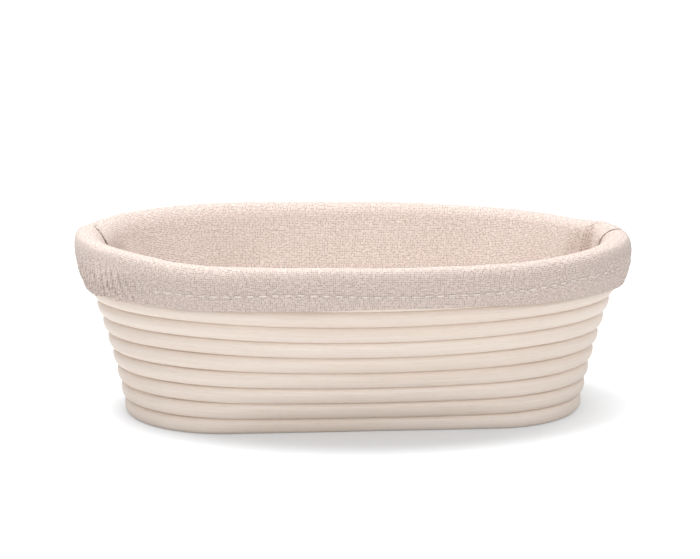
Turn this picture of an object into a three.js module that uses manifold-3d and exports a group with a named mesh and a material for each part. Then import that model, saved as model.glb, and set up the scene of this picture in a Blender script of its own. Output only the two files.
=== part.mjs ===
// Oval proofing basket of coiled rattan cane, with a linen liner turned over its rim.
// Millimetres, +Z up. The origin is at the centre of the underside, the long way runs along X.

import * as THREE from 'three';
import { mergeVertices } from 'three/addons/utils/BufferGeometryUtils.js';
import Module from 'manifold-3d';

// Basket
const RIM_LENGTH = 250; // over the outside of the top turn
const RIM_WIDTH = 150;
const CORE_STRAIGHT = 120; // straight run in the middle of the base, shared by every base turn
const CANE_DIAMETER = 7.5;
const BASE_TURNS = 5;
const WALL_TURNS = 9;
const WALL_CANES = 3; // laid end to end to make up the wall
const BASE_TURN_GAP = 0.95;
const WALL_TURN_GAP = 0.55;
const CANE_END_GAP = 0.3; // between two canes that meet end to end
const FOOT_CUT = 0.75; // how deep the underside is worn flat
const END_BOW = 0.35; // share of the flare at the two ends that comes from a curve
const OVAL_TURN = 5.5; // turn at which the plan has changed from straight-sided to a full oval

// Pegs that hold each turn of cane to the next
const PEG_DIAMETER = 2;
const PEG_DEPTH = 4.5; // in each of the two turns
const PEG_CLEARANCE = 0.3;
const BASE_PEG_STEPS = [[13.5, 20.5], [14.5, 7.5]];
const CORE_PEG_STEPS = [12.5, 15.5];
const WALL_PEG_STEPS = [[5.5, 12.5, 19.5], [8.5, 15.5, 22.5]];

// Liner
const CLOTH = 0.6; // thickness
const CLOTH_CLEARANCE = 0.4;
const CREST_RISE = 3; // how much higher the cloth arches over the rim than it lies beside it
const CUFF_DROP = 8; // lower edge of the cuff below the middle of the top turn, halfway along the sides
const CUFF_END_DIP = 5; // how much lower the cuff hangs at the two ends
const HEM_MARGIN = 0.6; // cloth between the elastic and the row of stitches above it
const ELASTIC_WIDTH = 5;
const ELASTIC_THICKNESS = 0.8;
const THREAD_DIAMETER = 0.7;

// How finely the turns are drawn
const BACK_STEPS = 4; // steps along each long side, where the turns climb at the back
const END_STEPS = 8; // steps round each end
const TURN_STEPS = 2 * (BACK_STEPS + END_STEPS);
const CANE_SIDES = 6;
const SMALL_SIDES = 4;
const WALL_ROWS = 8; // rows of the side band up the inside of the wall
const CREST_STEPS = 4;

// Worked out from the sizes above: a six-sided section with the area of the round cane,
// whose flats face the next turns and whose corners face in and out.
const halfSide = Math.PI / CANE_SIDES;
const caneCorner = (CANE_DIAMETER / 2) * Math.sqrt((2 * halfSide) / Math.sin(2 * halfSide));
const caneFlat = caneCorner * Math.cos(halfSide);
const basePitch = 2 * caneFlat + BASE_TURN_GAP;
const wallPitch = 2 * caneFlat + WALL_TURN_GAP;
const baseHalfWidth = BASE_TURNS * basePitch;
const baseHalfLength = CORE_STRAIGHT / 2 + baseHalfWidth;
const rimHalfLength = RIM_LENGTH / 2 - caneCorner;
const rimHalfWidth = RIM_WIDTH / 2 - caneCorner;
const baseHeight = caneCorner - FOOT_CUT;
const panelBottom = baseHeight + caneCorner + CLOTH_CLEARANCE;
const panelTop = panelBottom + CLOTH;

const RATTAN = new THREE.MeshStandardMaterial({ color: 0xe4d2bf, roughness: 0.6, metalness: 0 });
const PEG_WOOD = new THREE.MeshStandardMaterial({ color: 0xc9a878, roughness: 0.7, metalness: 0 });
const LINEN = new THREE.MeshStandardMaterial({ color: 0xd6c6ba, roughness: 0.9, metalness: 0 });
const ELASTIC = new THREE.MeshStandardMaterial({ color: 0xf2efe8, roughness: 0.8, metalness: 0 });
const THREAD = new THREE.MeshStandardMaterial({ color: 0xe9ddd0, roughness: 0.8, metalness: 0 });

const basket = new THREE.Group();

const wasm = await Module();
wasm.setup();

// Plan, height and shape of the turn at a level. Level 0 is the outer turn of the base,
// the levels below it lie inside it on the table and those above it climb the wall.
function ringAt(level) {
  if (level <= 0) {
    const halfWidth = baseHalfWidth + level * basePitch;
    return { halfLength: CORE_STRAIGHT / 2 + halfWidth, halfWidth, oval: 0, height: baseHeight };
  }
  const climb = level / WALL_TURNS;
  const endClimb = climb * (1 - END_BOW + END_BOW * climb);
  return {
    halfLength: THREE.MathUtils.lerp(baseHalfLength, rimHalfLength, endClimb),
    halfWidth: THREE.MathUtils.lerp(baseHalfWidth, rimHalfWidth, climb),
    oval: Math.min(1, level / OVAL_TURN),
    height: baseHeight + level * wallPitch,
  };
}

// Middle of the cane at a level and a step round the turn. Steps run anticlockwise from above,
// along the back, round the left end, along the front and round the right end.
function centreAt(level, step) {
  const { halfLength, halfWidth, oval, height } = ringAt(level);
  const straight = halfLength - halfWidth;
  const half = BACK_STEPS + END_STEPS;
  const side = step % TURN_STEPS < half ? 1 : -1;
  const along = step % half;
  const turned = (Math.PI * Math.max(0, along - BACK_STEPS)) / END_STEPS;
  const run = 1 - (2 * Math.min(along, BACK_STEPS)) / BACK_STEPS;
  const x = side * (straight * run - halfWidth * Math.sin(turned));
  const y = side * halfWidth * Math.cos(turned);
  const ovalWidth = halfWidth * Math.sqrt(Math.max(0, 1 - (x / halfLength) ** 2));
  return new THREE.Vector3(x, y + oval * (Math.sign(y) * ovalWidth - y), height);
}

// Direction from the turn below (or inside) to the turn at this level.
function stackAt(level, step) {
  const reach = 0.5;
  return centreAt(level, step).sub(centreAt(level - reach, step)).normalize();
}

// Direction out of the basket, square to the wall, at a level and step.
function outwardAt(level, step) {
  const ahead = centreAt(level, step + 1).sub(centreAt(level, step + TURN_STEPS - 1));
  return ahead.cross(stackAt(level, step)).normalize();
}

// Point at a height, a distance inside the middle of the wall that is measured square to it.
function insideWall(height, step, distance) {
  const level = (height - baseHeight) / wallPitch;
  const outward = outwardAt(level, step).setZ(0);
  return centreAt(level, step).addScaledVector(outward, -distance / outward.lengthSq());
}

// Closed body through a row of sections with the same number of points each.
function loft(sections, closed) {
  const sides = sections[0].length;
  const positions = sections.flat().flatMap((point) => [point.x, point.y, point.z]);
  const triangles = [];
  const joins = closed ? sections.length : sections.length - 1;
  for (let i = 0; i < joins; i += 1) {
    const near = i * sides;
    const far = ((i + 1) % sections.length) * sides;
    for (let j = 0; j < sides; j += 1) {
      const next = (j + 1) % sides;
      triangles.push(near + j, near + next, far + next, near + j, far + next, far + j);
    }
  }
  const last = (sections.length - 1) * sides;
  for (let j = 1; !closed && j < sides - 1; j += 1) {
    triangles.push(0, j + 1, j, last, last + j, last + j + 1);
  }
  const geometry = new THREE.BufferGeometry();
  geometry.setAttribute('position', new THREE.Float32BufferAttribute(positions, 3));
  geometry.setIndex(volumeOf(positions, triangles) < 0 ? triangles.reverse() : triangles);
  geometry.computeVertexNormals();
  return geometry;
}

function volumeOf(positions, triangles) {
  const corner = (i) => new THREE.Vector3().fromArray(positions, 3 * i);
  let six = 0;
  for (let i = 0; i < triangles.length; i += 3) {
    const [a, b, c] = [corner(triangles[i]), corner(triangles[i + 1]), corner(triangles[i + 2])];
    six += a.dot(b.cross(c));
  }
  return six / 6;
}

function solidOf(geometry) {
  const bare = geometry.clone();
  bare.deleteAttribute('normal');
  bare.deleteAttribute('uv');
  const merged = mergeVertices(bare);
  const mesh = new wasm.Mesh({
    numProp: 3,
    vertProperties: new Float32Array(merged.attributes.position.array),
    triVerts: new Uint32Array(merged.index.array),
  });
  return new wasm.Manifold(mesh);
}

function geometryOf(solid) {
  const mesh = solid.getMesh();
  const geometry = new THREE.BufferGeometry();
  geometry.setAttribute('position', new THREE.BufferAttribute(new Float32Array(mesh.vertProperties), 3));
  geometry.setIndex(new THREE.BufferAttribute(new Uint32Array(mesh.triVerts), 1));
  geometry.computeVertexNormals();
  return geometry;
}

function addPiece(name, geometry, material) {
  const mesh = new THREE.Mesh(geometry, material);
  mesh.name = name;
  basket.add(mesh);
}

// Stations of a spiral from one level to another. Each turn stays level round the ends and the
// front and climbs to the next one along the back. The two tips are pared down to the room left.
function spiralStations(firstLevel, lastLevel, pitch, gap) {
  const stations = [];
  const middle = BACK_STEPS / 2;
  const steps = (lastLevel - firstLevel + 1) * TURN_STEPS;
  for (let i = 0; i <= steps; i += 1) {
    const step = (i + middle) % TURN_STEPS;
    const turn = firstLevel + Math.floor((i + middle) / TURN_STEPS);
    const climbed = THREE.MathUtils.smoothstep(step, 0, BACK_STEPS);
    const starting = i <= middle;
    const ending = i >= steps - middle;
    const room = ((starting ? climbed : 1 - climbed) * pitch - gap) / (2 * caneFlat);
    const size = starting || ending ? Math.min(1, room) : 1;
    const level = Math.min(lastLevel, Math.max(firstLevel, turn - 1 + climbed));
    const lean = (ending ? 1 : -1) * (1 - size) * caneFlat;
    stations.push({ level: starting || ending ? Math.round(level) : level, step, size, lean });
  }
  return stations;
}

// Six-sided sections of a cane along its stations, flats towards the next turns.
function caneSections(stations) {
  const centres = stations.map(({ level, step }) => centreAt(level, step));
  return stations.map(({ level, step, size, lean }, i) => {
    const before = centres[Math.max(0, i - 1)];
    const after = centres[Math.min(centres.length - 1, i + 1)];
    const forward = after.clone().sub(before).normalize();
    const across = forward.clone().cross(stackAt(level, step)).normalize();
    const stack = across.clone().cross(forward).normalize();
    const centre = centres[i].clone().addScaledVector(stack, lean);
    const points = [];
    for (let k = 0; k < CANE_SIDES; k += 1) {
      const angle = (2 * Math.PI * k) / CANE_SIDES;
      const point = centre.clone().addScaledVector(across, size * caneCorner * Math.cos(angle));
      points.push(point.addScaledVector(stack, size * caneCorner * Math.sin(angle)));
    }
    return { points, forward };
  });
}

function movedAlong({ points, forward }, distance) {
  return points.map((point) => point.clone().addScaledVector(forward, distance));
}

// Least distance between points of one cane that lie half a turn or more apart along it.
function leastGap(sections) {
  const rings = sections.map((points) => {
    const middles = points.map((point, k) => point.clone().lerp(points[(k + 1) % CANE_SIDES], 0.5));
    return points.concat(middles);
  });
  let least = Infinity;
  for (let i = 0; i < rings.length; i += 1) {
    for (let j = i + TURN_STEPS / 2; j < rings.length; j += 1) {
      for (const point of rings[i]) {
        for (const other of rings[j]) {
          least = Math.min(least, point.distanceTo(other));
        }
      }
    }
  }
  return least;
}

// Base: a straight core cane and one long cane wound round it, both worn flat underneath.
function tableBlock() {
  const depth = 2 * CANE_DIAMETER;
  const block = new THREE.BoxGeometry(2 * RIM_LENGTH, 2 * RIM_WIDTH, depth);
  block.translate(0, 0, -depth / 2);
  return solidOf(block);
}

// The core ends where the first turn starts to bend round it.
function coreSections() {
  return [-CORE_STRAIGHT / 2, CORE_STRAIGHT / 2].map((x) => {
    const points = [];
    for (let k = 0; k < CANE_SIDES; k += 1) {
      const angle = (2 * Math.PI * k) / CANE_SIDES;
      points.push(new THREE.Vector3(x, caneCorner * Math.sin(angle), baseHeight + caneCorner * Math.cos(angle)));
    }
    return points;
  });
}

const baseStations = spiralStations(1 - BASE_TURNS, 0, basePitch, BASE_TURN_GAP);
const baseSections = caneSections(baseStations).map(({ points }) => points);
const wallStations = spiralStations(1, WALL_TURNS, wallPitch, WALL_TURN_GAP);
const wallSections = caneSections(wallStations);

// Every cane with the levels of its turns, first the two of the base.
function levelsFrom(first, last) {
  return Array.from({ length: last - first + 1 }, (_, i) => first + i);
}

const canes = [];
canes.push({
  name: 'base_core_cane',
  levels: [-BASE_TURNS],
  solid: solidOf(loft(coreSections(), false)).subtract(tableBlock()),
});
canes.push({
  name: 'base_coil_cane',
  levels: levelsFrom(1 - BASE_TURNS, 0),
  solid: solidOf(loft(baseSections, false)).subtract(tableBlock()),
});
console.log(`base_coil_cane least gap to itself ${leastGap(baseSections).toFixed(2)} mm`);

// Wall: one spiral made up of canes laid end to end, the joints at the back.
const CANE_PLACES = ['lower', 'middle', 'upper'];
for (let cane = 0; cane < WALL_CANES; cane += 1) {
  const firstTurn = Math.round((WALL_TURNS * cane) / WALL_CANES);
  const lastTurn = Math.round((WALL_TURNS * (cane + 1)) / WALL_CANES);
  const run = wallSections.slice(firstTurn * TURN_STEPS, lastTurn * TURN_STEPS + 1);
  const sections = run.map(({ points }) => points);
  if (firstTurn > 0) {
    sections[0] = movedAlong(run[0], CANE_END_GAP / 2);
  }
  if (lastTurn < WALL_TURNS) {
    sections[sections.length - 1] = movedAlong(run[run.length - 1], -CANE_END_GAP / 2);
  }
  const name = `wall_cane_${CANE_PLACES[cane] ?? cane + 1}`;
  canes.push({ name, levels: levelsFrom(firstTurn + 1, lastTurn), solid: solidOf(loft(sections, false)) });
  console.log(`${name} least gap to itself ${leastGap(sections).toFixed(2)} mm`);
}

// Pegs: each one stands in blind holes of two neighbouring turns.
function alongPeg(geometry, from, to) {
  const up = new THREE.Vector3(0, 1, 0);
  const turn = new THREE.Quaternion().setFromUnitVectors(up, to.clone().sub(from).normalize());
  const middle = from.clone().lerp(to, 0.5);
  return geometry.applyMatrix4(new THREE.Matrix4().compose(middle, turn, new THREE.Vector3(1, 1, 1)));
}

// Middle of the straight stretch of cane between the two drawn steps on either side of a half step.
function stretchAt(level, step) {
  if (level === -BASE_TURNS) {
    return new THREE.Vector3(centreAt(level, step).x, 0, baseHeight);
  }
  const before = Math.floor(step);
  return centreAt(level, before).lerp(centreAt(level, before + 1), 0.5);
}

function addPeg(name, level, step) {
  const from = stretchAt(level, step);
  const to = stretchAt(level + 1, step);
  const between = from.distanceTo(to) - 2 * caneFlat;
  const radius = PEG_DIAMETER / 2;
  const length = between + 2 * PEG_DEPTH;
  const wide = radius + PEG_CLEARANCE;
  const long = length + 2 * PEG_CLEARANCE;
  addPiece(name, alongPeg(new THREE.CylinderGeometry(radius, radius, length, CANE_SIDES), from, to), PEG_WOOD);
  const hole = solidOf(alongPeg(new THREE.CylinderGeometry(wide, wide, long, CANE_SIDES), from, to));
  for (const cane of canes) {
    if (cane.levels.includes(level) || cane.levels.includes(level + 1)) {
      cane.solid = cane.solid.subtract(hole);
    }
  }
}

let basePegs = 0;
for (let level = -BASE_TURNS; level < 0; level += 1) {
  const rows = level === -BASE_TURNS ? CORE_PEG_STEPS : BASE_PEG_STEPS[(level + BASE_TURNS + 1) % 2];
  for (const step of rows) {
    basePegs += 1;
    addPeg(`base_peg_${String(basePegs).padStart(2, '0')}`, level, step);
  }
}
let wallPegs = 0;
for (let level = 0; level < WALL_TURNS; level += 1) {
  for (const step of WALL_PEG_STEPS[level % 2]) {
    wallPegs += 1;
    addPeg(`wall_peg_${String(wallPegs).padStart(2, '0')}`, level, step);
  }
}
for (const { name, solid } of canes) {
  addPiece(name, geometryOf(solid), RATTAN);
}

// Liner: every piece of it is a closed loop with the same section at each step round the basket.
// A section point is [out, up, dip]: out from the middle of the wall, up from the top turn along it,
// and the share that it takes of the cuff's dip towards the ends.
function loop(section, lowest) {
  const sections = [];
  for (let step = 0; step < TURN_STEPS; step += 1) {
    const endDip = CUFF_END_DIP * (centreAt(WALL_TURNS, step).x / rimHalfLength) ** 2;
    sections.push(section.map(([out, up, dip = 0]) => {
      const level = WALL_TURNS + (up - dip * endDip) / wallPitch;
      const point = centreAt(level, step).addScaledVector(outwardAt(level, step), out);
      point.z = Math.max(point.z, lowest);
      return point;
    }));
  }
  return loft(sections, true);
}

// Outline of a strip of cloth of even thickness along a line of section points.
function strip(line) {
  const offset = (half) => line.map(([out, up, dip], i) => {
    const [beforeOut, beforeUp] = line[Math.max(0, i - 1)];
    const [afterOut, afterUp] = line[Math.min(line.length - 1, i + 1)];
    const along = new THREE.Vector2(afterOut - beforeOut, afterUp - beforeUp).normalize();
    return [out - half * along.y, up + half * along.x, dip];
  });
  return offset(CLOTH / 2).concat(offset(-CLOTH / 2).reverse());
}

function block(out, up, width, height, dip) {
  return [[-1, -1], [1, -1], [1, 1], [-1, 1]].map(([a, b]) => [out + (a * width) / 2, up + (b * height) / 2, dip]);
}

// Lozenge section of a thread, one corner towards the cloth it lies on.
function threadSection(out, up) {
  const radius = THREAD_DIAMETER / 2;
  const points = [];
  for (let k = 0; k < SMALL_SIDES; k += 1) {
    const angle = (2 * Math.PI * k) / SMALL_SIDES;
    points.push([out + radius * Math.cos(angle), up + radius * Math.sin(angle)]);
  }
  return points;
}

// Side band: up the inside of the wall, over the rim and down outside to a turned-up hem.
const clothOut = caneCorner + CLOTH_CLEARANCE + CLOTH / 2;
const elasticOut = clothOut + CLOTH / 2 + CLOTH_CLEARANCE + ELASTIC_THICKNESS / 2;
const hemOut = elasticOut + ELASTIC_THICKNESS / 2 + CLOTH_CLEARANCE + CLOTH / 2;
const foldRadius = (hemOut - clothOut) / 2;
const hemTop = -CUFF_DROP + foldRadius + ELASTIC_WIDTH + HEM_MARGIN;
const bandFoot = (0.5 - WALL_TURNS) * wallPitch;

function bandLine() {
  const line = [];
  for (let row = 0; row < WALL_ROWS; row += 1) {
    line.push([-clothOut, bandFoot * (1 - row / WALL_ROWS)]);
  }
  for (let k = 0; k <= CREST_STEPS; k += 1) {
    const angle = Math.PI * (1 - k / CREST_STEPS);
    line.push([clothOut * Math.cos(angle), (clothOut + CREST_RISE) * Math.sin(angle)]);
  }
  line.push([hemOut, hemTop]);
  line.push([hemOut, -CUFF_DROP + foldRadius, 1]);
  line.push([hemOut - foldRadius, -CUFF_DROP, 1]);
  line.push([clothOut, -CUFF_DROP + foldRadius, 1]);
  line.push([clothOut, hemTop]);
  return line;
}

function panelSections() {
  return [panelBottom, panelTop].map((height) => {
    const points = [];
    for (let step = 0; step < TURN_STEPS; step += 1) {
      points.push(insideWall(panelBottom, step, caneCorner + CLOTH_CLEARANCE).setZ(height));
    }
    return points;
  });
}

const hemMiddle = -CUFF_DROP + foldRadius + ELASTIC_WIDTH / 2;
const threadOut = hemOut + CLOTH / 2 + CLOTH_CLEARANCE + THREAD_DIAMETER / 2;
const seamDepth = clothOut + CLOTH / 2 + CLOTH_CLEARANCE + THREAD_DIAMETER / 2;
const seamHeight = panelTop + CLOTH_CLEARANCE + THREAD_DIAMETER / 2;

function seamSections() {
  const sections = [];
  for (let step = 0; step < TURN_STEPS; step += 1) {
    sections.push(threadSection(-seamDepth, seamHeight).map(([out, height]) => {
      return insideWall(seamHeight, step, -out).setZ(height);
    }));
  }
  return sections;
}

addPiece('liner_base_panel', loft(panelSections(), false), LINEN);
addPiece('liner_side_band', loop(strip(bandLine()), panelTop + CLOTH_CLEARANCE), LINEN);
addPiece('hem_elastic', loop(block(elasticOut, hemMiddle, ELASTIC_THICKNESS, ELASTIC_WIDTH, 1), 0), ELASTIC);
addPiece('hem_thread', loop(threadSection(threadOut, hemTop), 0), THREAD);
addPiece('base_seam_thread', loft(seamSections(), true), THREAD);

export default basket;
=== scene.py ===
import bisect
import math

import bmesh
import bpy
from mathutils import Matrix, Vector, noise


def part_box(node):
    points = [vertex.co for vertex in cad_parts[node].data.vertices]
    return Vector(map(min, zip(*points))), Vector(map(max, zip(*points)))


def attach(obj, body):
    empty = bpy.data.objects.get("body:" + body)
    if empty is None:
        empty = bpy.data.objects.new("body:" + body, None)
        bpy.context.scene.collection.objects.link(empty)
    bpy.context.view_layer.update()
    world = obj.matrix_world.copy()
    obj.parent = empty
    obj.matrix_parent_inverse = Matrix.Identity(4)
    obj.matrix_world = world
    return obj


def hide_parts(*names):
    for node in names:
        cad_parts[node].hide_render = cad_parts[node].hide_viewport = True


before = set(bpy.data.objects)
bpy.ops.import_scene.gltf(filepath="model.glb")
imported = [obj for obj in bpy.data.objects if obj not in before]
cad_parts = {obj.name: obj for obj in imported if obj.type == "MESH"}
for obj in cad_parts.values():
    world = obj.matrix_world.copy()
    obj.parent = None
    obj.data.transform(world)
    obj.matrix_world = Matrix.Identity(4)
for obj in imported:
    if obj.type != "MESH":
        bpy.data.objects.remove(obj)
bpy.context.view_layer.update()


# Base canes. A straight core of peeled rattan lies in the middle of the floor, and one long cane is
# wound flat round it in five turns. Both were bent wet, pegged from turn to turn and worn flat below.
BASE_TURNS = 5
WALL_TURNS = 9
RIM_LENGTH = 0.250
RIM_WIDTH = 0.150
WALL_PITCH = 0.00769
END_BOW = 0.35
OVAL_TURN = 5.5
BACK_STEPS = 4
END_STEPS = 8
HALF_STEPS = BACK_STEPS + END_STEPS
TURN_STEPS = 2 * HALF_STEPS
STATIONS_PER_STEP = 5
CANE_SIDES = 20
CANE_REACH = 0.00395
CANE_SQUARENESS = 0.8
OPEN_LINE = 0.00002
CANE_WANDER = 0.0001
CANE_UNEVENNESS = 0.015
TIP_SHARE = 0.12
TIP_STATIONS = 8

core_low, core_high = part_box("base_core_cane")
coil_low, coil_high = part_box("base_coil_cane")
core_straight = core_high.x - core_low.x
node_flat = core_high.y
node_corner = node_flat / math.cos(math.pi / 6)
base_half_width = coil_high.y - node_flat
base_half_length = core_straight / 2 + base_half_width
base_pitch = base_half_width / BASE_TURNS
base_height = core_high.z - node_corner
rim_half_length = RIM_LENGTH / 2 - node_corner
rim_half_width = RIM_WIDTH / 2 - node_corner


def mix(start, end, share):
    """A value at a share of the way from one to another."""
    return start + (end - start) * share


def ease(share):
    """A share from 0 to 1 that sets off and comes to rest smoothly."""
    share = min(1.0, max(0.0, share))
    return share * share * (3 - 2 * share)


def turn_shape(level):
    """Half length, half width, ovalness and height of a turn. Level 0 is the outer turn of the base."""
    if level <= 0:
        half_width = base_half_width + level * base_pitch
        return core_straight / 2 + half_width, half_width, 0.0, base_height
    climb = level / WALL_TURNS
    end_climb = climb * (1 - END_BOW + END_BOW * climb)
    half_length = mix(base_half_length, rim_half_length, end_climb)
    half_width = mix(base_half_width, rim_half_width, climb)
    return half_length, half_width, min(1.0, level / OVAL_TURN), base_height + level * WALL_PITCH


def centre_at(level, step):
    """Middle of the cane. Steps run along the back, round the left end, the front and the right end."""
    half_length, half_width, oval, height = turn_shape(level)
    straight = half_length - half_width
    side = 1 if step % TURN_STEPS < HALF_STEPS else -1
    along = step % HALF_STEPS
    turned = math.pi * max(0.0, along - BACK_STEPS) / END_STEPS
    run = 1 - 2 * min(along, BACK_STEPS) / BACK_STEPS
    x = side * (straight * run - half_width * math.sin(turned))
    y = side * half_width * math.cos(turned)
    oval_width = half_width * math.sqrt(max(0.0, 1 - (x / half_length) ** 2))
    return Vector((x, mix(y, math.copysign(oval_width, y), oval), height))


def stack_at(level, step):
    """Direction from the turn below, or inside, to the turn at this level."""
    return (centre_at(level, step) - centre_at(level - 0.5, step)).normalized()


def outward_at(level, step):
    """Direction out of the basket, square to the wall."""
    ahead = centre_at(level, step + 0.5) - centre_at(level, step + TURN_STEPS - 0.5)
    return ahead.cross(stack_at(level, step)).normalized()


def winding(first_level, last_level):
    """Level, step, size and lean of each station of a spiral that climbs along the back, tips pared."""
    stations = []
    middle = BACK_STEPS / 2
    steps = (last_level - first_level + 1) * TURN_STEPS
    for i in range(-TIP_STATIONS, steps * STATIONS_PER_STEP + TIP_STATIONS + 1):
        gone = i / STATIONS_PER_STEP
        step = (gone + middle) % TURN_STEPS
        turn = first_level + math.floor((gone + middle) / TURN_STEPS)
        climbed = ease(step / BACK_STEPS)
        starting = gone <= middle
        ending = gone >= steps - middle
        room = climbed if starting else 1 - climbed
        size = max(TIP_SHARE, room) if starting or ending else 1.0
        level = min(last_level, max(first_level, turn - 1 + climbed))
        lean = (1 if ending else -1) * (1 - size)
        stations.append((level, step, size, lean))
    return stations


def cane_frames(stations):
    """For each station, the matrix that sets a unit ring square across the cane there."""
    centres = [centre_at(level, step) for level, step, size, lean in stations]
    frames = []
    for i, (level, step, size, lean) in enumerate(stations):
        forward = (centres[min(i + 1, len(centres) - 1)] - centres[max(i - 1, 0)]).normalized()
        across = forward.cross(stack_at(level, step)).normalized()
        stack = across.cross(forward).normalized()
        half_pitch = (centre_at(level, step) - centre_at(level - 1, step)).length / 2
        half_stack = (half_pitch - OPEN_LINE / 2) * size
        wander = noise.noise(Vector((centres[i].x, centres[i].y, 0)) * 35) * CANE_WANDER
        uneven = CANE_UNEVENNESS * noise.noise(centres[i] * 50)
        reach = CANE_REACH * (0.5 + size / 2) * (1 + uneven)
        centre = centres[i] + stack * (lean * half_pitch + wander) + across * wander
        columns = [*(across * reach).to_4d(), *(stack * half_stack).to_4d(), *forward.to_4d()]
        matrix = Matrix((columns[0:4], columns[4:8], columns[8:12], centre.to_4d())).transposed()
        matrix[3] = (0, 0, 0, 1)
        frames.append(matrix)
    return frames


def cane_mesh(frames):
    """Skin of a cane: a ring pushed from frame to frame, with its ends closed. The layer grain holds
    the place round the cane and the length along it."""
    bm = bmesh.new()
    grain = bm.verts.layers.float_vector.new("grain")
    ring = bmesh.ops.create_circle(bm, segments=CANE_SIDES, radius=1.0)["verts"]
    for vert in ring:
        for axis in (0, 1):
            vert.co[axis] = math.copysign(abs(vert.co[axis]) ** CANE_SQUARENESS, vert.co[axis])
    bmesh.ops.transform(bm, matrix=frames[0], verts=ring)
    edges = list(bm.edges)
    end_edges = list(edges)
    length = 0.0
    for i, place in enumerate(frames):
        if i > 0:
            grown = bmesh.ops.extrude_edge_only(bm, edges=edges)["geom"]
            ring = [item for item in grown if isinstance(item, bmesh.types.BMVert)]
            edges = [item for item in grown if isinstance(item, bmesh.types.BMEdge) and item.is_boundary]
            bmesh.ops.transform(bm, matrix=place @ frames[i - 1].inverted(), verts=ring)
            length += (place.translation - frames[i - 1].translation).length
        back = place.inverted()
        for vert in ring:
            local = back @ vert.co
            vert[grain] = (local.x, local.y, length)
    end_edges += edges
    for edge in end_edges:
        edge.smooth = False
    for face in bm.faces:
        face.smooth = True
    bmesh.ops.edgeloop_fill(bm, edges=end_edges)
    bmesh.ops.recalc_face_normals(bm, faces=list(bm.faces))
    return bm


def finished(name, bm, material, body, slot, *nodes):
    """A piece from its mesh: on its body, standing for its nodes of the solid model. Its slot is not used.
    """
    mesh = bpy.data.meshes.new(name)
    bm.to_mesh(mesh)
    bm.free()
    piece = bpy.data.objects.new(name, mesh)
    bpy.context.scene.collection.objects.link(piece)
    mesh.materials.append(material)
    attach(piece, body)
    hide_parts(*nodes)
    return piece


def tone(red, green, blue):
    """A colour given in screen values from 0 to 255, as the linear colour that a shader takes."""
    linear = [((value / 255 + 0.055) / 1.055) ** 2.4 for value in (red, green, blue)]
    return (*linear, 1.0)


def add_node(tree, kind, sockets=None, **settings):
    """A shader node with its settings, and each named socket set to a value or linked to an output."""
    made = tree.nodes.new(kind)
    for name, value in settings.items():
        setattr(made, name, value)
    for socket, value in (sockets or {}).items():
        if isinstance(value, bpy.types.NodeSocket):
            tree.links.new(value, made.inputs[socket])
        else:
            made.inputs[socket].default_value = value
    return made


def mixed(tree, share, first, second, blend="MIX"):
    """Colour output of a Mix node. Sockets 0, 6 and 7 are the share and the two colours."""
    sockets = {0: share, 6: first, 7: second}
    return add_node(tree, "ShaderNodeMix", sockets, data_type="RGBA", blend_type=blend).outputs[2]


def graded(tree, value, low, high, to_low=0.0, to_high=1.0):
    """A value moved from one range to another, held at its ends."""
    sockets = {"Value": value, 1: low, 2: high, 3: to_low, 4: to_high}
    return add_node(tree, "ShaderNodeMapRange", sockets).outputs[0]


def streaks(tree, vector, scale, detail):
    """Noise stretched by a different scale along each axis of a vector."""
    placed = add_node(tree, "ShaderNodeMapping", {"Vector": vector, "Scale": scale}).outputs[0]
    made = add_node(tree, "ShaderNodeTexNoise", {"Vector": placed, "Scale": 1.0, "Detail": detail})
    return made.outputs[0]


def new_material(name):
    """An empty material, its node tree and its Principled shader."""
    material = bpy.data.materials.new(name)
    material.use_nodes = True
    return material, material.node_tree, material.node_tree.nodes["Principled BSDF"]


def rattan():
    """Peeled rattan: pale cream, with long fibres and small open pores."""
    material, tree, shader = new_material("peeled_rattan")
    grain = add_node(tree, "ShaderNodeAttribute", attribute_name="grain").outputs["Vector"]
    fibres = streaks(tree, grain, (15, 15, 34), 3.0)
    patches = streaks(tree, grain, (0.7, 0.7, 8), 2.0)
    pores = streaks(tree, grain, (30, 30, 190), 1.0)
    body = mixed(tree, graded(tree, patches, 0.35, 0.65), tone(247, 235, 225), tone(239, 225, 213))
    body = mixed(tree, graded(tree, fibres, 0.42, 0.72, 0, 0.5), body, tone(229, 211, 195))
    body = mixed(tree, graded(tree, pores, 0.62, 0.74, 0, 0.35), body, tone(202, 176, 151))
    tree.links.new(body, shader.inputs["Base Color"])
    rough = graded(tree, fibres, 0.3, 0.7, 0.5, 0.68)
    tree.links.new(rough, shader.inputs["Roughness"])
    bump = add_node(tree, "ShaderNodeBump", {"Strength": 0.35, "Distance": 0.0002, "Height": fibres})
    tree.links.new(bump.outputs[0], shader.inputs["Normal"])
    return material


RATTAN = rattan()


def worn_flat(bm):
    """Underside of the base, rubbed level where it stands."""
    for vert in bm.verts:
        vert.co.z = max(vert.co.z, 0.0)
    return bm


core_frames = []
for i in range(2 * STATIONS_PER_STEP + 1):
    x = mix(-core_straight / 2, core_straight / 2, i / (2 * STATIONS_PER_STEP))
    columns = ((0, base_pitch / 2 - CANE_WANDER, 0, 0), (0, 0, CANE_REACH, 0), (1, 0, 0, 0),
               (x, 0, base_height, 1))
    core_frames.append(Matrix(columns).transposed())
finished("base_core", worn_flat(cane_mesh(core_frames)), RATTAN, "basket", "rattan", "base_core_cane")

coil_frames = cane_frames(winding(1 - BASE_TURNS, 0))
finished("base_coil", worn_flat(cane_mesh(coil_frames)), RATTAN, "basket", "rattan", "base_coil_cane")


# Wall canes. Three lengths of the same cane carry the spiral up the wall, each turn a little wider
# than the one below it. The lengths meet end to end at the back.
WALL_CANES = ("lower", "middle", "upper")
END_ROOM = 0.0003

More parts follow.
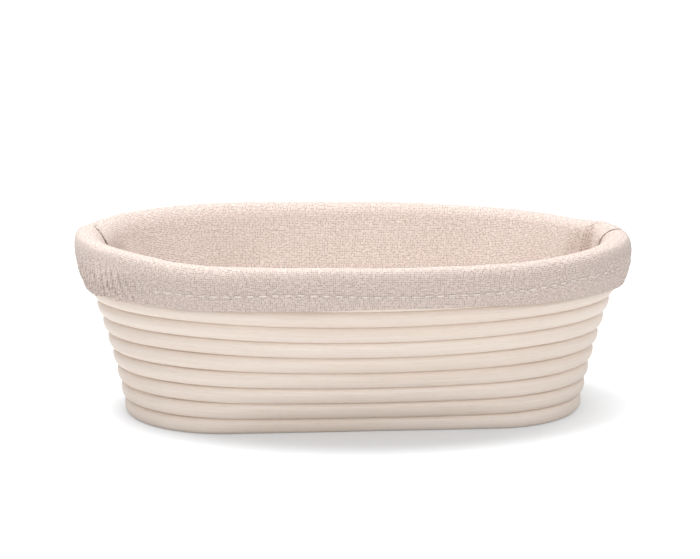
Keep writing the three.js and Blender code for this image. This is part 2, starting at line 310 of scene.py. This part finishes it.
wall_frames = cane_frames(winding(1, WALL_TURNS))
run = WALL_TURNS // len(WALL_CANES) * TURN_STEPS * STATIONS_PER_STEP
for i, place in enumerate(WALL_CANES):
    start = TIP_STATIONS + i * run if i > 0 else 0
    stop = TIP_STATIONS + (i + 1) * run if i < len(WALL_CANES) - 1 else len(wall_frames) - 1
    frames = [matrix.copy() for matrix in wall_frames[start:stop + 1]]
    for end, toward in ((0, 1), (-1, -1)):
        frames[end].translation += toward * END_ROOM / 2 * frames[end].col[2].to_3d()
    finished(f"wall_{place}", cane_mesh(frames), RATTAN, "basket", "rattan", f"wall_cane_{place}")


# Pegs. Thin wooden pins stand in blind holes from each turn to the next and hold the winding together.
# Nothing of them shows once the basket is closed up, so the solid model's own shapes stay.
def peg_wood():
    """Split hardwood with a straight grain up the peg."""
    material, tree, shader = new_material("peg_hardwood")
    place = add_node(tree, "ShaderNodeTexCoord").outputs["Object"]
    grain = streaks(tree, place, (2600, 2600, 160), 3.0)
    body = mixed(tree, graded(tree, grain, 0.35, 0.7), tone(206, 172, 124), tone(168, 128, 84))
    tree.links.new(body, shader.inputs["Base Color"])
    tree.links.new(graded(tree, grain, 0.3, 0.7, 0.55, 0.75), shader.inputs["Roughness"])
    bump = add_node(tree, "ShaderNodeBump", {"Strength": 0.3, "Distance": 0.0001, "Height": grain})
    tree.links.new(bump.outputs[0], shader.inputs["Normal"])
    return material


PEG_WOOD = peg_wood()
for name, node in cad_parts.items():
    if "_peg_" in name:
        node.data.materials.clear()
        node.data.materials.append(PEG_WOOD)


# Liner base panel. An oval of plain-woven linen that lies loose on the base and is sewn all round
# to the foot of the side band.
CLOTH = 0.0006
CLOTH_ROOM = 0.0004
THREAD_PITCH = 0.00082
PANEL_COLUMNS = 120
PANEL_ROWS = 60
PANEL_CREASE = 0.0003

panel_low, panel_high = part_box("liner_base_panel")
panel_height = (panel_low.z + panel_high.z) / 2


def inside_wall(height, step, distance):
    """Point at a height, a distance inside the middle of the wall measured square to it."""
    level = (height - base_height) / WALL_PITCH
    outward = outward_at(level, step)
    outward.z = 0
    return centre_at(level, step) - outward * (distance / outward.length_squared)


def cloth_grid(columns, rows):
    """A flat grid of quads from 0 to 1 both ways, with a UV map to be filled in metres."""
    bm = bmesh.new()
    bm.loops.layers.uv.new("weave")
    bmesh.ops.create_grid(bm, x_segments=columns, y_segments=rows, size=0.5)
    bmesh.ops.translate(bm, vec=(0.5, 0.5, 0), verts=list(bm.verts))
    return bm


def linen():
    """Unbleached linen in a plain weave of uneven yarn: each yarn has its own thickness and shade, and the
    gaps between the yarns carry spots of painted shade.
    """
    material, tree, shader = new_material("unbleached_linen")
    weave = add_node(tree, "ShaderNodeUVMap", uv_map="weave").outputs[0]
    split = add_node(tree, "ShaderNodeSeparateXYZ", {"Vector": weave})
    waver = streaks(tree, weave, (120, 120, 1), 2.0)
    waves = []
    for axis in ("X", "Y"):
        drift = graded(tree, waver, 0, 1, -1.1, 1.1)
        sockets = {0: split.outputs[axis], 1: math.pi / THREAD_PITCH, 2: drift}
        phase = add_node(tree, "ShaderNodeMath", sockets, operation="MULTIPLY_ADD").outputs[0]
        wave = add_node(tree, "ShaderNodeMath", {0: phase}, operation="SINE").outputs[0]
        waves.append(add_node(tree, "ShaderNodeMath", {0: wave}, operation="ABSOLUTE").outputs[0])
    yarn = add_node(tree, "ShaderNodeMath", {0: waves[0], 1: waves[1]}, operation="MAXIMUM").outputs[0]
    weft = streaks(tree, weave, (500, 1500, 1), 1.0)
    warp = streaks(tree, weave, (1500, 600, 1), 1.0)
    flecks = streaks(tree, weave, (1000, 1300, 1), 0.0)
    body = mixed(tree, graded(tree, weft, 0.35, 0.65), tone(232, 217, 209), tone(214, 197, 188))
    body = mixed(tree, graded(tree, warp, 0.5, 0.7, 0, 0.4), body, tone(200, 181, 169))
    # Painted shade: a dark brown laid in spots into the gaps between the yarns, where the weave lies lowest.
    gaps = graded(tree, yarn, 0.84, 0.45)
    gap_shade_spots = graded(tree, flecks, 0.42, 0.58)
    painted_gap_shade = add_node(tree, "ShaderNodeMath", {0: gaps, 1: gap_shade_spots}, operation="MULTIPLY").outputs[0]
    body = mixed(tree, painted_gap_shade, body, tone(92, 73, 65))
    tree.links.new(body, shader.inputs["Base Color"])
    sockets = {0: weft, 1: 0.3, 2: yarn}
    height = add_node(tree, "ShaderNodeMath", sockets, operation="MULTIPLY_ADD").outputs[0]
    bump = add_node(tree, "ShaderNodeBump", {"Strength": 0.6, "Distance": 0.00022, "Height": height})
    tree.links.new(bump.outputs[0], shader.inputs["Normal"])
    shader.inputs["Roughness"].default_value = 0.92
    shader.inputs["Specular IOR Level"].default_value = 0.2
    shader.inputs["Sheen Weight"].default_value = 0.12
    shader.inputs["Sheen Roughness"].default_value = 0.5
    return material


def thickened(piece):
    """Cloth of even thickness, half of it to either side of the modelled surface."""
    solidify = piece.modifiers.new("cloth", "SOLIDIFY")
    solidify.thickness = CLOTH
    solidify.offset = 0


LINEN = linen()

bm = cloth_grid(PANEL_COLUMNS, PANEL_ROWS)
for vert in bm.verts:
    x, y = 2 * vert.co.x - 1, 2 * vert.co.y - 1
    across, along = x * math.sqrt(1 - y * y / 2), y * math.sqrt(1 - x * x / 2)
    reach = math.hypot(across, along)
    step = TURN_STEPS * (math.atan2(along, across) / math.tau - 1 / 8)
    edge = inside_wall(panel_low.z, step, node_corner + CLOTH_ROOM)
    crease = PANEL_CREASE * noise.noise(Vector((edge.x * reach, edge.y * reach, 0)) * 45)
    vert.co = (edge.x * reach, edge.y * reach, panel_height + crease * (1 - reach ** 6))
for face in bm.faces:
    face.smooth = True
    for loop in face.loops:
        loop[bm.loops.layers.uv["weave"]].uv = loop.vert.co.xy
bmesh.ops.recalc_face_normals(bm, faces=list(bm.faces))
panel_area = sum(face.calc_area() for face in bm.faces)
panel = finished("liner_panel", bm, LINEN, "liner", "linen", "liner_base_panel")
thickened(panel)


# Liner side band. One strip of the same linen goes up the inside of the wall, over the rim and down
# outside as a cuff. Its edge is turned under to a hem, and an elastic inside draws it in at the ends.
BAND_COLUMNS = 640
END_CROWDING = 1.3
SEAM_ROWS = 2
WALL_ROWS = 22
CREST_ROWS = 16
CUFF_ROWS = 16
FOLD_ROWS = 5
RETURN_ROWS = 2
SEAM_ALLOWANCE = 0.0028
CREST_LEAN = 1.3

# How the cloth lies round the rim, as a step and millimetres from the middle of the top turn: the crest's
# height, the roll's reach to the inside, the drop of the hem's edge and the drop of its stitches.
CREST_TOPS = (
    (2, 7.0), (5.5, 9.4), (6.0, 9.6), (6.5, 8.8), (6.95, 8.2), (7.2, 9.0), (7.6, 9.9), (8.4, 9.4),
    (9.4, 8.6), (10.2, 7.7), (10.7, 6.4), (11.2, 6.0), (12.2, 6.9), (13.2, 7.6), (14.9, 7.2), (16.0, 6.6),
    (16.5, 6.0), (17.3, 6.2), (19, 7.0), (19.9, 6.8), (20.25, 5.6), (20.6, 5.8), (21.0, 6.2), (21.6, 5.4),
    (23, 6.2),
)
CREST_INSIDES = (
    (2, 5.0), (6.2, 5.2), (6.8, 7.0), (7.3, 8.8), (9.5, 8.2), (11, 6.6), (14, 6.2), (16.5, 6.2),
    (18, 7.4), (19.2, 8.8), (20.0, 8.4), (20.4, 7.0), (20.8, 5.2),
)
HEM_DROPS = (
    (2, 8.0), (5.5, 11.0), (8, 12.0), (9.0, 10.8), (9.4, 9.8), (9.9, 10.1), (10.8, 11.2), (12.7, 8.9),
    (14.2, 7.6), (15.6, 8.3), (17, 10.3), (20, 12.4), (22.5, 10.6),
)
STITCH_DROPS = (
    (2, 1.6), (6, 3.0), (8.5, 4.2), (11, 3.5), (12.8, 0.9), (14.9, 1.9), (16.5, 2.4), (17.7, 1.0),
    (20, 1.4), (22.5, 1.6),
)
RIM_FIT = 0.0047
HEM_OUT = 0.00565
HEM_HOLLOW = 0.00135
HEM_ROOM = 0.0001
END_BULGE = 0.0008
END_SPAN = 1.8
LEFT_DRAW = 0.4
BULGE_START = 0.003
BULGE_RUN = 0.005
CASING_SLOPE = 0.0012
ROLL_DEPTH = 0.3
TUCK_DEPTH = 0.15
LEFT_END = BACK_STEPS + END_STEPS / 2
RIGHT_END = LEFT_END + HALF_STEPS
PUCKER_DEPTH = 0.0034
PUCKER_PITCH = 0.0038
PUCKER_LEAN = 0.25
PUCKER_JITTER = 0.0010
PUCKER_ROUNDNESS = 0.7
PUCKER_SINK = 0.03
PUCKER_START = 0.006
PUCKER_RUN = 0.009
CLOTH_WANDER = 0.0003
CUFF_WANDER = 0.00015
STITCH_PULL = 0.0003
STITCH_DIP = 0.0006

cloth_out = node_corner + CLOTH_ROOM + CLOTH / 2
fold_radius = HEM_HOLLOW / 2
foot_height = panel_high.z + CLOTH_ROOM
band_foot = (foot_height - base_height) - WALL_TURNS * WALL_PITCH


def swell(step, centre, width):
    """A smooth rise to 1 at a step round the basket."""
    away = (step - centre + HALF_STEPS) % TURN_STEPS - HALF_STEPS
    return math.exp(-((away / width) ** 2))


def round_rim(step, points):
    """Height in metres at a step, eased between points of a step and a height in millimetres."""
    step = (step - points[0][0]) % TURN_STEPS + points[0][0]
    closed = points + ((points[0][0] + TURN_STEPS, points[0][1]),)
    for (before, start), (after, end) in zip(closed, closed[1:]):
        if step <= after:
            return mix(start, end, ease((step - before) / (after - before))) / 1000


def cuff_out(step, down):
    """Middle of the cloth outside, at a distance down from the top turn: over the rim, then the hem."""
    casing = ease(down / (round_rim(step, STITCH_DROPS) + CASING_SLOPE))
    bulge = END_BULGE * (swell(step, RIGHT_END, END_SPAN) - LEFT_DRAW * swell(step, LEFT_END, END_SPAN))
    return mix(RIM_FIT, HEM_OUT, casing) + bulge * ease((down - BULGE_START) / BULGE_RUN)


def hem_inside(step):
    """Middle of the cloth that is turned under, which stays clear of the cane."""
    last = round_rim(step, HEM_DROPS) - fold_radius
    return max(cuff_out(step, last) - HEM_HOLLOW, CANE_REACH + CLOTH / 2 + HEM_ROOM)


# Gathers: the step, half width in steps and strength of each.
GATHERS = ((LEFT_END + 1.4, 0.85, 1.0), (LEFT_END - 2.2, 1.1, 0.4), (RIGHT_END, 1.6, 0.2))


def pucker(step, arc, down):
    """Ripples where the elastic draws the cuff in: at the two ends, most at the left."""
    drawn = sum(strength * swell(step, centre, width) for centre, width, strength in GATHERS)
    jitter = PUCKER_JITTER * noise.noise(Vector((arc * 150, down * 90, 0)))
    phase = math.pi * (arc - PUCKER_LEAN * down + jitter) / PUCKER_PITCH
    ripple = abs(math.sin(phase)) ** PUCKER_ROUNDNESS - PUCKER_SINK
    return PUCKER_DEPTH * drawn * ripple * ease((down + PUCKER_START) / PUCKER_RUN)


def wall_point(step, out, up):
    """Point at a distance out from the middle of the wall and up from the middle of its top turn."""
    level = WALL_TURNS + up / WALL_PITCH
    return centre_at(level, step) + outward_at(level, step) * out


# Folds of the inside: the step at the top and at the foot, half width in steps and depth.
INSIDE_FOLDS = (
    (20.93, 21.2, 0.16, 0.0024),
    (21.45, 21.9, 0.25, 0.0020),
    (22.8, 23.1, 0.5, 0.0014),
    (5.2, 4.9, 0.6, 0.0016),
    (6.4, 6.0, 0.3, 0.0022),
    (9.2, 8.8, 0.5, 0.0014),
    (18.4, 18.9, 0.5, 0.0016),
    (1.2, 1.5, 0.9, 0.0010),
    (3.1, 2.8, 0.8, 0.0012),
    (12.6, 12.4, 0.7, 0.0012),
    (15.2, 15.4, 0.8, 0.0010),
)

# Pleats of the roll at the right end: the step, half width in steps and depth of each ridge.
RIM_PLEATS = ((20.93, 0.13, 0.0056), (21.45, 0.25, 0.0036))

# Tucks where the cloth laps over itself: the step, its shift from the crest to the inside, the side that
# lies on top and its lift.
TUCKS = ((6.97, 0.6, -1, 0.0010), (20.2, -0.1, 1, 0.0020))
TUCK_WIDTH = 0.25
TUCK_LAP = 2.5
TUCK_SPREAD = 3


def roll_inside(step):
    """How far the roll of cloth reaches in from the middle of the wall."""
    pleated = sum(depth * swell(step, centre, width) for centre, width, depth in RIM_PLEATS)
    return round_rim(step, CREST_INSIDES) + pleated


def tucked(step, lean, weight):
    """Step and lift of the cloth at a step when its tucks are laid over, at a weight from 0 to 1."""
    moved, lift = step, 0.0
    for crest, shift, side, height in TUCKS:
        away = ((step - crest - shift * lean + HALF_STEPS) % TURN_STEPS - HALF_STEPS) / TUCK_WIDTH
        moved -= TUCK_LAP * weight * TUCK_WIDTH * away * math.exp(-away * away)
        upper = 0.5 + 0.5 * math.tanh(TUCK_LAP * side * away)
        lift += height * weight * upper * math.exp(-(away / TUCK_SPREAD) ** 2)
    return moved, lift


def inside_slack(step, share):
    """How far the cloth stands in from the wall, at a share of the way up."""
    slack = (roll_inside(step) - cloth_out) * ease(1 - (1 - share) / ROLL_DEPTH)
    for top, foot, width, depth in INSIDE_FOLDS:
        slack += depth * swell(step, mix(foot, top, share), width) * math.sin(math.pi * min(1, share * 1.05))
    return slack


def band_line(step, arc):
    """Rows of the band at a step, as points: seam allowance, inside, crest, cuff, fold and hem return."""
    points = []
    for row in range(SEAM_ROWS):
        distance = cloth_out + SEAM_ALLOWANCE * (1 - row / SEAM_ROWS)
        points.append(inside_wall(foot_height, step, distance))
    for row in range(WALL_ROWS):
        share = row / WALL_ROWS
        wander = CLOTH_WANDER * noise.noise(centre_at(share * WALL_TURNS, step) * 70)
        out = -cloth_out - inside_slack(step, share) + wander * math.sin(math.pi * share)
        moved, lift = tucked(step, 1, ease(1 - (1 - share) / TUCK_DEPTH))
        point = wall_point(moved, out - lift, band_foot * (1 - share))
        point.z = max(point.z, foot_height)
        points.append(point)
    rise = round_rim(step, CREST_TOPS)
    for row in range(CREST_ROWS):
        angle = math.pi * (1 - row / CREST_ROWS)
        moved, lift = tucked(step, max(0, -math.cos(angle)), ease(0.5 - 1.5 * math.cos(angle)))
        if angle > math.pi / 2:
            out = (roll_inside(step) + lift) * math.cos(angle)
            up = (rise + lift) * math.sin(angle)
        else:
            up = (rise + lift) * math.sin(angle) ** CREST_LEAN
            out = RIM_FIT * math.cos(angle) ** CREST_LEAN + pucker(step, arc, -up)
        points.append(wall_point(moved, out, up))
    last = round_rim(step, HEM_DROPS) - fold_radius
    stitched = round_rim(step, STITCH_DROPS)
    for row in range(CUFF_ROWS):
        down = last * row / CUFF_ROWS
        pull = STITCH_PULL * math.exp(-(((down - stitched) / STITCH_DIP) ** 2))
        wander = CUFF_WANDER * noise.noise(centre_at(WALL_TURNS, step) * 90 + Vector((0, 0, down * 120)))
        loose = wander * math.sin(math.pi * row / CUFF_ROWS) + pucker(step, arc, down)
        points.append(wall_point(step, cuff_out(step, down) - pull + loose, -down))
    outer = cuff_out(step, last)
    inner = hem_inside(step)
    for row in range(FOLD_ROWS):
        angle = math.pi * row / FOLD_ROWS
        out = mix(inner, outer + pucker(step, arc, last), 0.5 + math.cos(angle) / 2)
        points.append(wall_point(step, out, -last - fold_radius * math.sin(angle)))
    for row in range(RETURN_ROWS + 1):
        points.append(wall_point(step, inner, mix(-last, -stitched - CASING_SLOPE, row / RETURN_ROWS)))
    return points


steps = []
for column in range(BAND_COLUMNS + 1):
    even = TURN_STEPS * column / BAND_COLUMNS
    steps.append(even - END_CROWDING * math.sin(math.tau * (even - LEFT_END) / HALF_STEPS))
arcs = [0.0]
for before, after in zip(steps, steps[1:]):
    arcs.append(arcs[-1] + (wall_point(after, HEM_OUT, 0) - wall_point(before, HEM_OUT, 0)).length)
lines = [band_line(step, arc) for step, arc in zip(steps[:-1], arcs)]
lines.append(lines[0])
band_rows = len(lines[0])
heights = []
for line in lines:
    lengths = [0.0]
    for before, after in zip(line, line[1:]):
        lengths.append(lengths[-1] + (after - before).length)
    heights.append(lengths)

bm = cloth_grid(BAND_COLUMNS, band_rows - 1)
weave = bm.loops.layers.uv["weave"]
for face in bm.faces:
    face.smooth = True
    for loop in face.loops:
        column = round(loop.vert.co.x * BAND_COLUMNS)
        row = round(loop.vert.co.y * (band_rows - 1))
        loop[weave].uv = (arcs[column], heights[column][row])
for vert in bm.verts:
    column = round(vert.co.x * BAND_COLUMNS)
    row = round(vert.co.y * (band_rows - 1))
    vert.co = lines[column][row]
bmesh.ops.remove_doubles(bm, verts=list(bm.verts), dist=1e-6)
bmesh.ops.recalc_face_normals(bm, faces=list(bm.faces))
band = finished("liner_band", bm, LINEN, "liner", "linen", "liner_side_band")
thickened(band)


# Hem elastic. A flat woven elastic runs inside the hem, stitched to a loop, and grips the cuff
# below the rim. The hem hides it.
ELASTIC_WIDTH = 0.004
ELASTIC_THICKNESS = 0.00035
ELASTIC_SECTION = 12


def woven_elastic():
    """White elastic: rubber cords under a ribbed cotton cover."""
    material, tree, shader = new_material("woven_elastic")
    weave = add_node(tree, "ShaderNodeUVMap", uv_map="weave").outputs[0]
    sockets = {"Vector": weave, "Scale": 220.0}
    ribs = add_node(tree, "ShaderNodeTexWave", sockets, bands_direction="Y").outputs["Fac"]
    body = mixed(tree, graded(tree, ribs, 0.2, 0.8), tone(214, 208, 198), tone(242, 239, 232))
    tree.links.new(body, shader.inputs["Base Color"])
    bump = add_node(tree, "ShaderNodeBump", {"Strength": 0.5, "Distance": 0.0002, "Height": ribs})
    tree.links.new(bump.outputs[0], shader.inputs["Normal"])
    shader.inputs["Roughness"].default_value = 0.85
    return material


bm = cloth_grid(BAND_COLUMNS // 2, ELASTIC_SECTION)
weave = bm.loops.layers.uv["weave"]
for face in bm.faces:
    face.smooth = True
    for loop in face.loops:
        column = 2 * round(loop.vert.co.x * BAND_COLUMNS / 2)
        loop[weave].uv = (arcs[column], loop.vert.co.y * 2 * ELASTIC_WIDTH)
for vert in bm.verts:
    step = steps[2 * round(vert.co.x * BAND_COLUMNS / 2)]
    angle = math.tau * vert.co.y
    thick = ELASTIC_THICKNESS / 2 * math.copysign(abs(math.sin(angle)) ** 0.5, math.sin(angle))
    flat = math.copysign(abs(math.cos(angle)) ** 0.5, math.cos(angle))
    down = round_rim(step, HEM_DROPS) - fold_radius - ELASTIC_WIDTH / 2 * (1 + flat)
    middle = mix(hem_inside(step), cuff_out(step, down), 0.5)
    vert.co = wall_point(step, middle + thick, -down)
bmesh.ops.remove_doubles(bm, verts=list(bm.verts), dist=1e-6)
bmesh.ops.recalc_face_normals(bm, faces=list(bm.faces))
finished("elastic", bm, woven_elastic(), "liner", "elastic", "hem_elastic")


# Stitches. A row of machine stitches in pale cotton closes the hem above the elastic, and another
# joins the side band to the base panel.
STITCH_PITCH = 0.0054
STITCH_LENGTH = 0.0037
STITCH_RADIUS = 0.0004
STITCH_PROUD = 0.8


def cotton_thread():
    """Pale twisted sewing cotton."""
    material, tree, shader = new_material("sewing_cotton")
    place = add_node(tree, "ShaderNodeTexCoord").outputs["Object"]
    twist = streaks(tree, place, (2400, 2400, 2400), 2.0)
    body = mixed(tree, graded(tree, twist, 0.35, 0.65), tone(229, 219, 212), tone(245, 238, 232))
    tree.links.new(body, shader.inputs["Base Color"])
    bump = add_node(tree, "ShaderNodeBump", {"Strength": 0.4, "Distance": 0.0001, "Height": twist})
    tree.links.new(bump.outputs[0], shader.inputs["Normal"])
    shader.inputs["Roughness"].default_value = 0.8
    return material


COTTON = cotton_thread()


def stitch_row(place, length):
    """Rounded stitches one after another along a closed line, place(share) giving its points."""
    bm = bmesh.new()
    count = round(length / STITCH_PITCH)
    half = STITCH_LENGTH / 2 / length
    for i in range(count):
        share = i / count
        start, middle, end = place(share - half), place(share), place(share + half)
        forward = end - start
        turn = forward.to_track_quat("X", "Z").to_matrix().to_4x4()
        size = Matrix.Diagonal((forward.length / 2, STITCH_RADIUS, STITCH_RADIUS, 1))
        bmesh.ops.create_uvsphere(bm, u_segments=8, v_segments=5, radius=1.0,
                                  matrix=Matrix.Translation(middle) @ turn @ size)
    for face in bm.faces:
        face.smooth = True
    return bm


def hem_line(share):
    """Point on the cuff's outside at a share of the way round the hem's row of stitches."""
    arc = share % 1 * arcs[-1]
    after = min(bisect.bisect(arcs, arc), BAND_COLUMNS)
    between = (arc - arcs[after - 1]) / (arcs[after] - arcs[after - 1])
    step = mix(steps[after - 1], steps[after], between)
    stitched = round_rim(step, STITCH_DROPS)
    out = cuff_out(step, stitched) - STITCH_PULL
    return wall_point(step, out + CLOTH / 2 + STITCH_PROUD * STITCH_RADIUS, -stitched)


def seam_line(share):
    """Point on the seam allowance at a share of the way round the seam of the base panel."""
    height = foot_height + CLOTH / 2 + STITCH_RADIUS / 3
    return inside_wall(height, TURN_STEPS * share, cloth_out + SEAM_ALLOWANCE / 2)


def line_length(place, pieces=96):
    """Length of a closed line, place(share) giving its points."""
    points = [place(i / pieces) for i in range(pieces + 1)]
    return sum((after - before).length for before, after in zip(points, points[1:]))


hem_row = stitch_row(hem_line, line_length(hem_line))
finished("hem_stitches", hem_row, COTTON, "liner", "thread", "hem_thread")
seam_row = stitch_row(seam_line, line_length(seam_line))
finished("seam_stitches", seam_row, COTTON, "liner", "thread", "base_seam_thread")


# Studio. The basket stands on a pale matt floor, lit by two round soft lamps and an even surround.
# Seen directly, the floor glows with painted light. The glow is weaker in an oval round the basket, which
# gives a painted shade there over the soft shadow it keeps. It is stronger further out, where the floor goes
# over into the white surround.
FLOOR_SIZE = 6.0
FLOOR_DROP = 0.0002
FLOOR_SEEN = (0.60, 0.62, 0.64, 1)
FLOOR_BOUNCE = (0.74, 0.74, 0.74, 1)
NEAR_LIFT = 0.25
FAR_LIFT = 0.75
SHADE_INNER = 0.065
SHADE_OUTER = 0.115
SHADE_OVAL = (0.78, 1, 0)
SURROUND = 0.48
LAMP_AIM = Vector((0, 0, 0.04))

bm = bmesh.new()
bmesh.ops.create_grid(bm, x_segments=1, y_segments=1, size=FLOOR_SIZE / 2)
bmesh.ops.translate(bm, vec=(0, 0, -FLOOR_DROP), verts=list(bm.verts))
floor_mesh = bpy.data.meshes.new("floor")
bm.to_mesh(floor_mesh)
bm.free()
floor = bpy.data.objects.new("floor", floor_mesh)
bpy.context.scene.collection.objects.link(floor)



def looked_at(tree):
    """1 where the ray shows the surface itself, in a reflection too, and 0 where it only carries light."""
    rays = add_node(tree, "ShaderNodeLightPath").outputs
    sockets = {0: rays["Is Camera Ray"], 1: rays["Is Glossy Ray"]}
    seen = add_node(tree, "ShaderNodeMath", sockets, operation="MAXIMUM").outputs[0]
    sockets = {0: seen, 1: rays["Is Transmission Ray"]}
    return add_node(tree, "ShaderNodeMath", sockets, operation="MAXIMUM").outputs[0]


floor_material, tree, shader = new_material("pale_floor")
shader.inputs["Roughness"].default_value = 1.0
shader.inputs["Specular IOR Level"].default_value = 0.0
seen = looked_at(tree)
place = add_node(tree, "ShaderNodeTexCoord").outputs["Object"]
# Painted shade round the basket: the glow of the floor, where it is seen, is weaker in this oval than
# further out.
oval = add_node(tree, "ShaderNodeVectorMath", {0: place, 1: SHADE_OVAL}, operation="MULTIPLY").outputs[0]
away = add_node(tree, "ShaderNodeVectorMath", {0: oval}, operation="LENGTH").outputs["Value"]
sockets = {"Value": away, 1: SHADE_INNER, 2: SHADE_OUTER, 3: NEAR_LIFT, 4: FAR_LIFT}
lift = add_node(tree, "ShaderNodeMapRange", sockets, interpolation_type="SMOOTHSTEP").outputs[0]
lift = graded(tree, seen, 0, 1, 0, lift)
shader.inputs["Emission Color"].default_value = (1, 1, 1, 1)
tree.links.new(lift, shader.inputs["Emission Strength"])
tree.links.new(mixed(tree, seen, FLOOR_BOUNCE, FLOOR_SEEN), shader.inputs["Base Color"])
floor_mesh.materials.append(floor_material)

world = bpy.data.worlds.new("white_surround")
bpy.context.scene.world = world
world.use_nodes = True
tree = world.node_tree
level = graded(tree, looked_at(tree), 0, 1, SURROUND, 1.0)
tree.nodes["Background"].inputs["Color"].default_value = (1, 1, 1, 1)
tree.links.new(level, tree.nodes["Background"].inputs["Strength"])

# Each lamp: name, width, power and place. All of them point at the middle of the basket.
LAMPS = (
    ("top_lamp", 0.8, 19.5, (-0.25, 0.05, 1.35)),
    ("front_lamp", 1.4, 6.8, (0.35, -1.4, 0.95)),
)
for name, width, power, place in LAMPS:
    light = bpy.data.lights.new(name, "AREA")
    light.shape = "DISK"
    light.size = width
    light.energy = power
    lamp = bpy.data.objects.new(name, light)
    lamp.location = place
    lamp.rotation_euler = (LAMP_AIM - lamp.location).to_track_quat("-Z", "Y").to_euler()
    bpy.context.scene.collection.objects.link(lamp)


# Camera. It stands more than a metre away and looks down a little on the front, from left of the middle.
# It is turned by half a degree about its own line of sight.
AIM = Vector((-0.00222, 0, 0.05904))
DISTANCE = 1.2983
ELEVATION = math.radians(13.229)
YAW = math.radians(5.945)
ROLL = math.radians(0.499)
LENS = 147.28
SENSOR = 36

camera_data = bpy.data.cameras.new("camera")
camera_data.lens = LENS
camera_data.sensor_width = SENSOR
camera = bpy.data.objects.new("camera", camera_data)
level_reach = math.cos(ELEVATION)
back = Vector((-level_reach * math.sin(YAW), -level_reach * math.cos(YAW), math.sin(ELEVATION)))
camera.location = AIM + DISTANCE * back
turned = (-back).to_track_quat("-Z", "Y").to_matrix() @ Matrix.Rotation(ROLL, 3, "Z")
camera.rotation_euler = turned.to_euler()
bpy.context.scene.collection.objects.link(camera)
bpy.context.scene.camera = camera
bpy.context.scene.view_settings.view_transform = "Standard"
